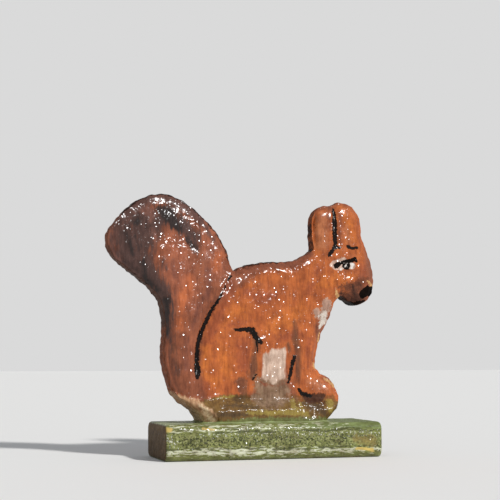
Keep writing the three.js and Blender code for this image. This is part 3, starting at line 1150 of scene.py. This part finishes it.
@dataclass
class SquirrelFigure:
    """The sawn and whittled animal with its mound.

    Its faces fall away in a low crown towards the sawn edge, which is nicked, and in a facet along the back.
    They drop by a step beside the knife cut along the tail. The knife left a ripple everywhere, and varnish
    dried in a drip at the tip of the tail and in a thin film that leans a little from the wood.
    """

    node: str = "squirrel_figure"
    voxel: float = 0.42
    foot: float = 12.0
    foot_blend: float = 1.0
    remesh_relaxing: int = 3
    carve_relaxing: int = 1
    wall_lean: float = 0.3
    foot_lean: float = -0.9
    bore_margin: float = 1.0
    face_band: Band = (0.25, 0.8)
    mound_band: Band = (18.0, 26.0)
    crown_width: float = 6.5
    crown_share: float = 0.26
    plume: Stroke = ((-44, 76, 6), (-30, 72, 8), (-24, 64, 4))
    plume_fade: float = 8.0
    plume_crown_width: float = 11.0
    back_line: Stroke = (
        (-13.5, 60.4, 0), (-11.6, 60.4, 0), (-8.2, 61.9, 0), (-5.4, 63.3, 0), (2.2, 64.4, 0), (8.9, 64.6, 0),
        (11.3, 65.4, 0), (14.2, 67, 0), (17.1, 68.9, 0), (20, 69.6, 0),
    )
    back_start: Band = (-15.0, -12.0)
    back_end: Band = (16.0, 19.0)
    back_band: Band = (-5.0, -2.0)
    back_slope: float = 0.26
    back_reach: float = 0.8
    back_softness: float = 0.25
    tail_line: Stroke = (
        (-11, 66, 0), (-16, 58, 0), (-21, 49, 0), (-24.8, 39.5, 0), (-25.8, 33.5, 0), (-25.5, 28, 0),
    )
    step_depth: float = 1.3
    step_width: float = 2.6
    step_start: Band = (24.0, 40.0)
    step_end: Band = (50.0, 55.0)
    ripple: float = 0.14
    ripple_size: float = 5.0
    fine_ripple_size: float = 2.2
    fine_ripple_share: float = 0.6
    mound_ripple: float = 1.5
    drip: Place = (-42.2, 87.3, 1.6)
    drip_height: float = 0.5
    nick_depth: float = 0.34
    nick_size: Size = (1.3, 7.0, 1.3)
    wave_size: Size = (3.4, 9.0, 3.4)
    wave_share: float = 0.6
    nick_band: Band = (13.0, 16.0)
    edge_limit: Band = (-0.36, 4.0)
    face_margin: float = 0.4
    rim_width: float = 0.5
    film: Strokes = (
        ((-38, 70, 1), (-31, 67, 3), (-22, 66, 3), (-19, 71, 2)),
        ((-24, 61, 2), (-27, 56, 1)),
        ((-5, 57, 2), (2, 53, 2.5), (7, 56, 2)),
        ((24, 82, 1), (25, 72, 1.5), (30, 65, 3)),
    )
    film_lean: tuple[float, float, float] = (0.02, 0, 0.07)
    film_fade: float = 4.0

    def edge_distance(self, surface: Surface) -> np.ndarray:
        """Measure how far each vertex lies inside the outline, on the plane of the picture.

        Args:
            surface: vertices of the figure.

        Returns:
            Millimetres from the nearest point of the sawn edge.
        """
        wall = (np.abs(surface.normals[:, 1]) < self.wall_lean) & (surface.normals[:, 2] > self.foot_lean)
        for end in PIN_ENDS:
            low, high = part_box(f"fixing_pin_{end}")
            bore = np.hypot(surface.places[:, 0] - (low.x + high.x) / 2 / MM, surface.places[:, 1])
            above = surface.places[:, 2] > high.z / MM + self.bore_margin
            wall &= (bore > (high.x - low.x) / MM) | above
        rim = surface.places[wall]
        tree = kdtree.KDTree(len(rim))
        for index, place in enumerate(rim):
            tree.insert((place[0], 0, place[2]), index)
        tree.balance()
        return np.array([tree.find((x, 0, z))[2] for x, _, z in surface.places])

    def rounding(self, surface: Surface, to_edge: np.ndarray) -> np.ndarray:
        """Work out the low crown of the faces and the facet along the back.

        Args:
            surface: vertices of the figure.
            to_edge: millimetres from each vertex to the sawn edge.

        Returns:
            Millimetres inwards at every vertex.
        """
        x, y, z = surface.places.T
        in_plume = fade_out(surface.stroke_distance(self.plume), 0, self.plume_fade)
        width = self.crown_width + (self.plume_crown_width - self.crown_width) * in_plume
        inside = np.clip(to_edge / width, 0, 1)
        crown = self.crown_share * np.abs(y) * (1 - inside) ** 2 * smoothstep(z, *self.mound_band)
        back = np.array(self.back_line)
        above = z - np.interp(x, back[:, 0], back[:, 1])
        along = smoothstep(x, *self.back_start) * fade_out(x, *self.back_end)
        on_back = along * smoothstep(above, *self.back_band)
        soft = self.back_softness
        facet = self.back_slope * soft * np.logaddexp(0, (above + self.back_reach) / soft)
        return crown * (1 - on_back) + facet * on_back

    def step(self, surface: Surface) -> np.ndarray:
        """Work out the drop of the faces beside the knife cut along the tail.

        Args:
            surface: vertices of the figure.

        Returns:
            Millimetres inwards at every vertex.
        """
        z = surface.places[:, 2]
        beside = np.exp(-(surface.stroke_distance(self.tail_line) / self.step_width) ** 2)
        return self.step_depth * beside * smoothstep(z, *self.step_start) * fade_out(z, *self.step_end)

    def lumps(self, surface: Surface) -> np.ndarray:
        """Work out the ripple of the knife, the beads of the varnish runs and the drip.

        Args:
            surface: vertices of the figure.

        Returns:
            Millimetres inwards at every vertex.
        """
        broad = surface.noise((self.ripple_size,) * 3, RIPPLE_SEED)
        fine = surface.noise((self.fine_ripple_size,) * 3, FINE_RIPPLE_SEED)
        lumps = self.ripple * (broad + self.fine_ripple_share * fine)
        lumps *= 1 + self.mound_ripple * (1 - smoothstep(surface.places[:, 2], *self.mound_band))
        lumps += sum(run.depth(surface) for run in VARNISH_RUNS)
        from_drip = surface.stroke_distance(((*self.drip[:2], 0),))
        return lumps - self.drip_height * np.exp(-(from_drip / self.drip[2]) ** 2)

    def nicks(self, surface: Surface) -> np.ndarray:
        """Give the nicks and slow waves of the sawn edge, as shares of their full depth."""
        wave = surface.noise(self.wave_size, WAVE_SEED)
        return surface.noise(self.nick_size, NICK_SEED) + self.wave_share * wave

    def carve(self, surface: Surface) -> np.ndarray:
        """Whittle the faces and nick the sawn edge.

        Args:
            surface: vertices of the figure.

        Returns:
            Millimetres from each vertex to the sawn edge.
        """
        z = surface.places[:, 2]
        to_edge = self.edge_distance(surface)
        face = smoothstep(np.abs(surface.normals[:, 1]), *self.face_band)
        depth = self.rounding(surface, to_edge) + self.step(surface) + self.lumps(surface)
        offset = np.zeros_like(surface.places)
        offset[:, 1] = -np.sign(surface.normals[:, 1]) * depth * face
        nicked = (1 - face) * self.nicks(surface) * self.nick_depth * smoothstep(z, *self.nick_band)
        offset -= surface.normals * np.array([1, 0, 1]) * nicked[:, None]
        low, high = (np.array(corner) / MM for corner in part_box(self.node))
        moved = np.clip(surface.places + offset, low, high)
        at_foot = 1 - smoothstep(z, low[2], low[2] + self.foot_blend)
        moved[:, 2] -= (low[2] - self.foot) * at_foot
        surface.move(moved - surface.places)
        return to_edge

    def varnish_runs(self, surface: Surface) -> None:
        """Write the cover and the lean of the varnish runs on the mesh, and the lean of the film round them.

        Args:
            surface: vertices of the figure.
        """
        covers = np.array([run.cover(surface) for run in VARNISH_RUNS])
        leans = np.array([(run.lean[0], 0, run.lean[1]) for run in VARNISH_RUNS])
        share = covers / np.maximum(covers.sum(axis=0), 1)
        cover = covers.max(axis=0)
        film = fade_out(surface.nearest_stroke(self.film), 0, self.film_fade) * (1 - cover)
        surface.write(RUN_COVER, cover)
        surface.write(RUN_LEAN, share.T @ leans + film[:, None] * np.array(self.film_lean))

    def build(self) -> bpy.types.Object:
        """Make the painted figure.

        Returns:
            The figure.
        """
        piece = fine_copy(self.node, "painted_squirrel", self.voxel)
        still_height = self.foot + self.foot_blend
        relax(piece, self.remesh_relaxing, still_height)
        surface = Surface(piece)
        to_edge = self.carve(surface)
        relax(piece, self.carve_relaxing, still_height)
        surface.read()
        finish = PaintedWood(
            "oil paint on whittled softwood", ("#965538", "#84492F"), FIGURE_LAYERS, Varnish()
        )
        edge = facing(-np.abs(surface.normals[:, 1]), self.edge_limit)
        limits = {
            Where.SAWN_EDGE: edge,
            Where.RIM: to_edge - self.rim_width,
            Where.FACES: -self.face_margin - edge,
        }
        finish.mark_out(surface, limits)
        self.varnish_runs(surface)
        piece.data.materials.append(finish.build())
        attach(piece, BODY)
        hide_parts(self.node)
        return piece


BASE_LAYERS = (
    PaintLayer(
        "pits",
        ("#363C1E", "#22260F"),
        (((-40, 6.6, 0.2), (40, 6.6, 0.2)),),
        softness=1, fray=11, mark=0.7, cover=0.9,
    ),
    # Pale flecks in the stipple of the front: partly light paint, partly painted glints of the varnish.
    PaintLayer(
        "flecks_and_glints",
        ("#A6A96E", "#C6C996"),
        (((-40, 6.6, -1.2), (40, 6.6, -1.2)),),
        softness=1, fray=12, mark=0.62, cover=0.6,
    ),
    # Near-white specks on the front: partly light paint, partly painted glints of the varnish.
    PaintLayer(
        "specks",
        ("#DADDC6", "#F2F2E8"),
        (((-37.4, 8, -0.4), (-35, 5.6, -0.4)), ((-26, 8.7, -1), (10, 8.7, -0.9), (40, 8.4, -1.1))),
        softness=0.4, fray=4.2, mark=0.7, cover=0.9,
    ),
    # Lighter green on the top face, whose varnish is nearly gone: painted light and painted sheen on the top.
    PaintLayer(
        "lit_topside",
        ("#A2AE7E", "#87945E"),
        (((-40, 12.4, 0.5), (40, 12.4, 0.5)),),
        softness=0.5, fray=0.4, mark=1.2, cover=0.8, gloss=0.05, brush=Brush.LEVEL,
    ),
    PaintLayer(
        "rubbed",
        ("#7E8A58", "#6A7646"),
        (((8, 11, 0.4), (20, 11, 1), (40, 11, 1.4)),),
        softness=0.8, fray=0.5, mark=0.9, cover=0.9, gloss=0.05, brush=Brush.LEVEL,
    ),
    # Pale streaks along the rounded front edges, with little varnish: partly worn paint, partly painted
    # highlights of the varnish on the edges.
    PaintLayer(
        "worn_and_glint_streaks",
        ("#C6C9A8", "#F0F1E4"),
        (
            ((-37, 11.3, 0.1), (-14, 11.3, 0), (6, 11.3, -0.1), (26, 11.3, -0.7)),
            ((-36, 10.2, -0.1), (-12, 10.3, -0.3), (24, 10.2, -0.8)),
            (
                (-37, 2.8, 0.4), (-30, 3.1, 0.2), (-22, 2.9, 0.9), (-8, 2.8, 0.8), (4, 2.7, 0.5),
                (40, 2.6, 0.1),
            ),
            ((-12, 1.8, -0.1), (4, 1.8, -0.3), (24, 1.6, -1)),
        ),
        where=Where.SIDES,
        softness=0.5, fray=2.6, mark=0.55, cover=0.9, gloss=0.1, brush=Brush.LEVEL,
    ),
    PaintLayer(
        "seams",
        ("#4C5430", "#3A4024"),
        (((-40, 9.4, 0), (40, 9.4, 0)), ((-40, 3.7, 0), (40, 3.7, 0))),
        softness=0.7, fray=1.6, mark=0.8, cover=0.7, brush=Brush.LEVEL,
    ),
    PaintLayer(
        "tint",
        ("#9C8A4C", "#8A7B42"),
        (((28, 6.4, 0.9), (34, 5.4, 1.7)),),
        softness=2.5, fray=1.5, mark=1, cover=0.75,
    ),
    PaintLayer(
        "worn",
        ("#DEC671", "#C7AC5E"),
        (
            ((-38.4, 10.4, 1), (-36.6, 10.4, 0.7)),
            ((-25.5, 10.6, 0.3), (-21.5, 10.1, 0.25)),
            ((28.6, 3, 0.4), (34.2, 2.6, 0.8)),
        ),
        softness=0.5, fray=0.6, mark=0.8, brush=Brush.LEVEL,
    ),
    # Dark brown on the sawn ends: partly end grain that soaked up more paint, partly painted shade, as on the
    # left end that turns from the light.
    PaintLayer(
        "end_grain_and_shade",
        ("#765C42", "#44331F"),
        EVERYWHERE, where=Where.END_GRAIN,
        softness=1.5, fray=0.6, mark=0.8, gloss=0.1,
    ),
    PaintLayer(
        "underside",
        ("#CBA979", "#B18C5C"),
        EVERYWHERE, where=Where.UNDERSIDE,
        softness=0.8, fray=0.5, mark=0.8, cover=1.0, gloss=0.0, brush=Brush.LEVEL,
    ),
)


@dataclass
class BaseBlock:
    """The green block that the figure stands on.

    Its sides have shallow dents, and the paint has gathered in a fillet round the figure's foot.
    """

    node: str = "base_block"
    voxel: float = 0.4
    relaxing: int = 2
    still_height: float = 0.4
    dent: float = 0.12
    dent_size: Size = (6.0, 3.0, 3.0)
    dent_band: Band = (0.2, 1.5)
    fillet_height: float = 0.7
    fillet_width: float = 1.6
    foot_strip: float = 0.4
    top_band: Band = (0.5, 0.9)
    end_limit: Band = (0.8, 5.0)
    under_limit: Band = (0.97, 8.0)
    side_limit: Band = (-0.8, 6.0)

    def fillet(self, surface: Surface, figure: bpy.types.Object) -> np.ndarray:
        """Work out the paint that has gathered in the corner round the figure's foot.

        Args:
            surface: vertices of the block.
            figure: the painted figure.

        Returns:
            Millimetres that each vertex rises.
        """
        places = Surface(figure).places
        foot = places[places[:, 2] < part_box(self.node)[1].z / MM + self.foot_strip]
        tree = kdtree.KDTree(len(foot))
        for index, (x, y, _) in enumerate(foot):
            tree.insert((x, y, 0), index)
        tree.balance()
        gap = np.array([tree.find((x, y, 0))[2] for x, y, _ in surface.places])
        gathered = np.clip(1 - gap / self.fillet_width, 0, 1) ** 2
        return self.fillet_height * gathered * smoothstep(surface.normals[:, 2], *self.top_band)

    def build(self, figure: bpy.types.Object) -> bpy.types.Object:
        """Make the painted block.

        Args:
            figure: the painted figure, which stands on it.

        Returns:
            The block.
        """
        piece = fine_copy(self.node, "painted_base", self.voxel)
        relax(piece, self.relaxing, self.still_height)
        surface = Surface(piece)
        dents = np.abs(surface.noise(self.dent_size, DENT_SEED)) * self.dent
        dents *= smoothstep(surface.places[:, 2], *self.dent_band)
        offset = -surface.normals * dents[:, None]
        low, high = (np.array(corner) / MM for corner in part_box(self.node))
        moved = np.clip(surface.places + offset, low, high)
        moved[:, 2] += self.fillet(surface, figure)
        surface.move(moved - surface.places)
        finish = PaintedWood(
            "green oil paint on softwood", ("#80854C", "#6A7038"), BASE_LAYERS, Varnish(),
            ground_brush=Brush.LEVEL, ground_mark=0.9, ridge=0.5, ridge_height=0.12,
        )
        down = -surface.normals[:, 2]
        limits = {
            Where.END_GRAIN: facing(np.abs(surface.normals[:, 0]), self.end_limit),
            Where.UNDERSIDE: facing(down, self.under_limit),
            Where.SIDES: facing(down, self.side_limit),
        }
        finish.mark_out(surface, limits)
        piece.data.materials.append(finish.build())
        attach(piece, BODY)
        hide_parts(self.node)
        return piece


@dataclass(frozen=True)
class DrawnSteel:
    """Bright drawn steel wire: grey metal that the eye reads by the fine lines running along it.

    The lines are drawn coarser than real ones, so that they show.
    """

    name: str = "bright drawn steel wire"
    colours: tuple[str, str] = ("#A6A8AB", "#85888C")
    line: float = 0.15
    line_stretch: Size = (1.0, 1.0, 0.05)
    line_detail: float = 2.0
    line_depth: float = 0.004
    roughness: float = 0.34

    def build(self) -> bpy.types.Material:
        """Make the material.

        Returns:
            The node material.
        """
        material, tree, shader = new_material(self.name)
        coords = add_node(tree, "ShaderNodeTexCoord").outputs["Object"]
        along = add_node(tree, "ShaderNodeMapping", {"Vector": coords, "Scale": self.line_stretch})
        lines = add_node(
            tree,
            "ShaderNodeTexNoise",
            {"Vector": along.outputs[0], "Scale": per_metre(self.line), "Detail": self.line_detail},
        )
        colour = add_node(
            tree, "ShaderNodeMix",
            {0: lines.outputs["Fac"], 6: hex_colour(self.colours[0]), 7: hex_colour(self.colours[1])},
            data_type="RGBA",
        )
        bump = add_node(
            tree, "ShaderNodeBump", {"Height": lines.outputs["Fac"], "Distance": self.line_depth * MM}
        )
        tree.links.new(colour.outputs[2], shader.inputs["Base Color"])
        tree.links.new(bump.outputs[0], shader.inputs["Normal"])
        shader.inputs["Metallic"].default_value = 1.0
        shader.inputs["Roughness"].default_value = self.roughness
        return material


@dataclass(frozen=True)
class DriedGlue:
    """Dried wood glue: a cloudy amber film with a dull shine, seen only where the joint is opened."""

    name: str = "dried wood glue"
    colours: tuple[str, str] = ("#D8C48C", "#BFA468")
    cloud: float = 3.0
    cloud_detail: float = 3.0
    roughness: float = 0.42

    def build(self) -> bpy.types.Material:
        """Make the material.

        Returns:
            The node material.
        """
        material, tree, shader = new_material(self.name)
        coords = add_node(tree, "ShaderNodeTexCoord").outputs["Object"]
        clouds = add_node(
            tree,
            "ShaderNodeTexNoise",
            {"Vector": coords, "Scale": per_metre(self.cloud), "Detail": self.cloud_detail},
        )
        colour = add_node(
            tree, "ShaderNodeMix",
            {0: clouds.outputs["Fac"], 6: hex_colour(self.colours[0]), 7: hex_colour(self.colours[1])},
            data_type="RGBA",
        )
        tree.links.new(colour.outputs[2], shader.inputs["Base Color"])
        shader.inputs["Roughness"].default_value = self.roughness
        return material


@dataclass
class WirePin:
    """A wire pin with a turned head, punched below the underside of the base."""

    node: str
    finish: bpy.types.Material
    shank_radius: float = 0.8
    head_thickness: float = 0.9
    head_chamfer: float = 0.2
    point_length: float = 2.4
    point_radius: float = 0.1
    steps: int = 48
    crease_degrees: float = 30

    def build(self) -> bpy.types.Object:
        """Spin the pin round its axis in the place of its CAD node.

        Returns:
            The pin.
        """
        low, high = (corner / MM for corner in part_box(self.node))
        head, under = (high.x - low.x) / 2, low.z + self.head_thickness
        profile = (
            (0, low.z), (head - self.head_chamfer, low.z), (head, low.z + self.head_chamfer),
            (head, under - self.head_chamfer), (head - self.head_chamfer, under),
            (self.shank_radius + self.head_chamfer, under), (self.shank_radius, under + self.head_chamfer),
            (self.shank_radius, high.z - self.point_length), (self.point_radius, high.z), (0, high.z),
        )
        axis = (low + high) / 2
        shape = bmesh.new()
        verts = [shape.verts.new(Vector((axis.x + radius, axis.y, z)) * MM) for radius, z in profile]
        edges = [shape.edges.new(pair) for pair in zip(verts, verts[1:])]
        bmesh.ops.spin(
            shape,
            geom=verts + edges,
            cent=axis * MM,
            axis=(0, 0, 1),
            angle=math.tau,
            steps=self.steps,
            use_merge=True,
        )
        bmesh.ops.remove_doubles(shape, verts=shape.verts, dist=MERGE_DISTANCE)
        bmesh.ops.recalc_face_normals(shape, faces=shape.faces)
        mesh = bpy.data.meshes.new(f"wire_{self.node}")
        shape.to_mesh(mesh)
        shape.free()
        mesh.shade_smooth()
        mesh.set_sharp_from_angle(angle=math.radians(self.crease_degrees))
        mesh.materials.append(self.finish)
        pin = bpy.data.objects.new(mesh.name, mesh)
        bpy.context.scene.collection.objects.link(pin)
        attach(pin, BODY)
        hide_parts(self.node)
        return pin


def coat_glue(node: str) -> bpy.types.Object:
    """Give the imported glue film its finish.

    Args:
        node: name of the CAD node, whose shape stays.

    Returns:
        The glue film.
    """
    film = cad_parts[node]
    material = DriedGlue().build()
    for slot in film.material_slots:
        slot.material = material
    return film


@dataclass(frozen=True)
class Studio:
    """Pale floor, soft light and a camera at the photograph's viewing angle."""

    image_px: float = 500
    focal_px: float = 1200
    sensor_mm: float = 36
    clip_mm: float = 10
    camera_place: tuple[float, float, float] = (-127.9, -397.4, 33.3)
    yaw_degrees: float = 17.16
    pitch_degrees: float = 5.2
    floor_size: float = 6000
    floor_colour: str = "#ECEAE6"
    floor_roughness: float = 0.8
    backdrop_colour: str = "#DADADA"
    key_towards: tuple[float, float, float] = (0.4, -0.7, 0.59)
    key_degrees: float = 5
    key_strength: float = 3.1
    sky_colour: str = "#E3E9F2"
    sky_strength: float = 0.4

    def camera(self) -> None:
        """Set up the camera."""
        data = bpy.data.cameras.new("camera")
        data.sensor_width = self.sensor_mm
        data.lens = self.sensor_mm * self.focal_px / self.image_px
        data.clip_start = self.clip_mm * MM
        camera = bpy.data.objects.new("camera", data)
        camera.location = Vector(self.camera_place) * MM
        camera.rotation_euler = Euler(
            (math.radians(90 + self.pitch_degrees), 0, math.radians(-self.yaw_degrees)), "XYZ"
        )
        bpy.context.scene.collection.objects.link(camera)
        bpy.context.scene.camera = camera

    def floor(self) -> None:
        """Lay the floor."""
        mesh = bpy.data.meshes.new("floor")
        sheet = bmesh.new()
        bmesh.ops.create_grid(sheet, x_segments=1, y_segments=1, size=self.floor_size / 2 * MM)
        sheet.to_mesh(mesh)
        sheet.free()
        floor = bpy.data.objects.new("floor", mesh)
        bpy.context.scene.collection.objects.link(floor)
        material, _, shader = new_material("pale painted floor")
        shader.inputs["Base Color"].default_value = hex_colour(self.floor_colour)
        shader.inputs["Roughness"].default_value = self.floor_roughness
        mesh.materials.append(material)

    def lights(self) -> None:
        """Hang the key light and set the sky, which the camera sees as a plain pale backdrop."""
        data = bpy.data.lights.new("key", "SUN")
        data.angle = math.radians(self.key_degrees)
        data.energy = self.key_strength
        key = bpy.data.objects.new("key", data)
        key.rotation_euler = Vector(self.key_towards).to_track_quat("Z", "Y").to_euler()
        bpy.context.scene.collection.objects.link(key)
        world = bpy.data.worlds.new("studio")
        bpy.context.scene.world = world
        world.use_nodes = True
        tree = world.node_tree
        tree.nodes.clear()
        sky_light = {"Color": hex_colour(self.sky_colour), "Strength": self.sky_strength}
        sky = add_node(tree, "ShaderNodeBackground", sky_light)
        backdrop = add_node(tree, "ShaderNodeBackground", {"Color": hex_colour(self.backdrop_colour)})
        path = add_node(tree, "ShaderNodeLightPath").outputs
        seen = path["Is Camera Ray"]
        for ray in ("Is Glossy Ray", "Is Transmission Ray"):
            seen = add_node(tree, "ShaderNodeMath", {0: seen, 1: path[ray]}, operation="MAXIMUM").outputs[0]
        mix = add_node(tree, "ShaderNodeMixShader", {0: seen, 1: sky.outputs[0], 2: backdrop.outputs[0]})
        add_node(tree, "ShaderNodeOutputWorld", {"Surface": mix.outputs[0]})
        bpy.context.scene.view_settings.view_transform = "Standard"


def main() -> None:
    """Build the pieces, the light and the camera."""
    logging.basicConfig(level=logging.INFO)
    studio = Studio()
    studio.camera()
    studio.floor()
    studio.lights()
    figure = SquirrelFigure().build()
    steel = DrawnSteel().build()
    pins = [WirePin(f"fixing_pin_{end}", steel).build() for end in PIN_ENDS]
    for piece in (figure, BaseBlock().build(figure), *pins, coat_glue("glue_film")):
        LOG.info("%s: %d faces", piece.name, len(piece.data.polygons))


if __name__ == "__main__":
    main()
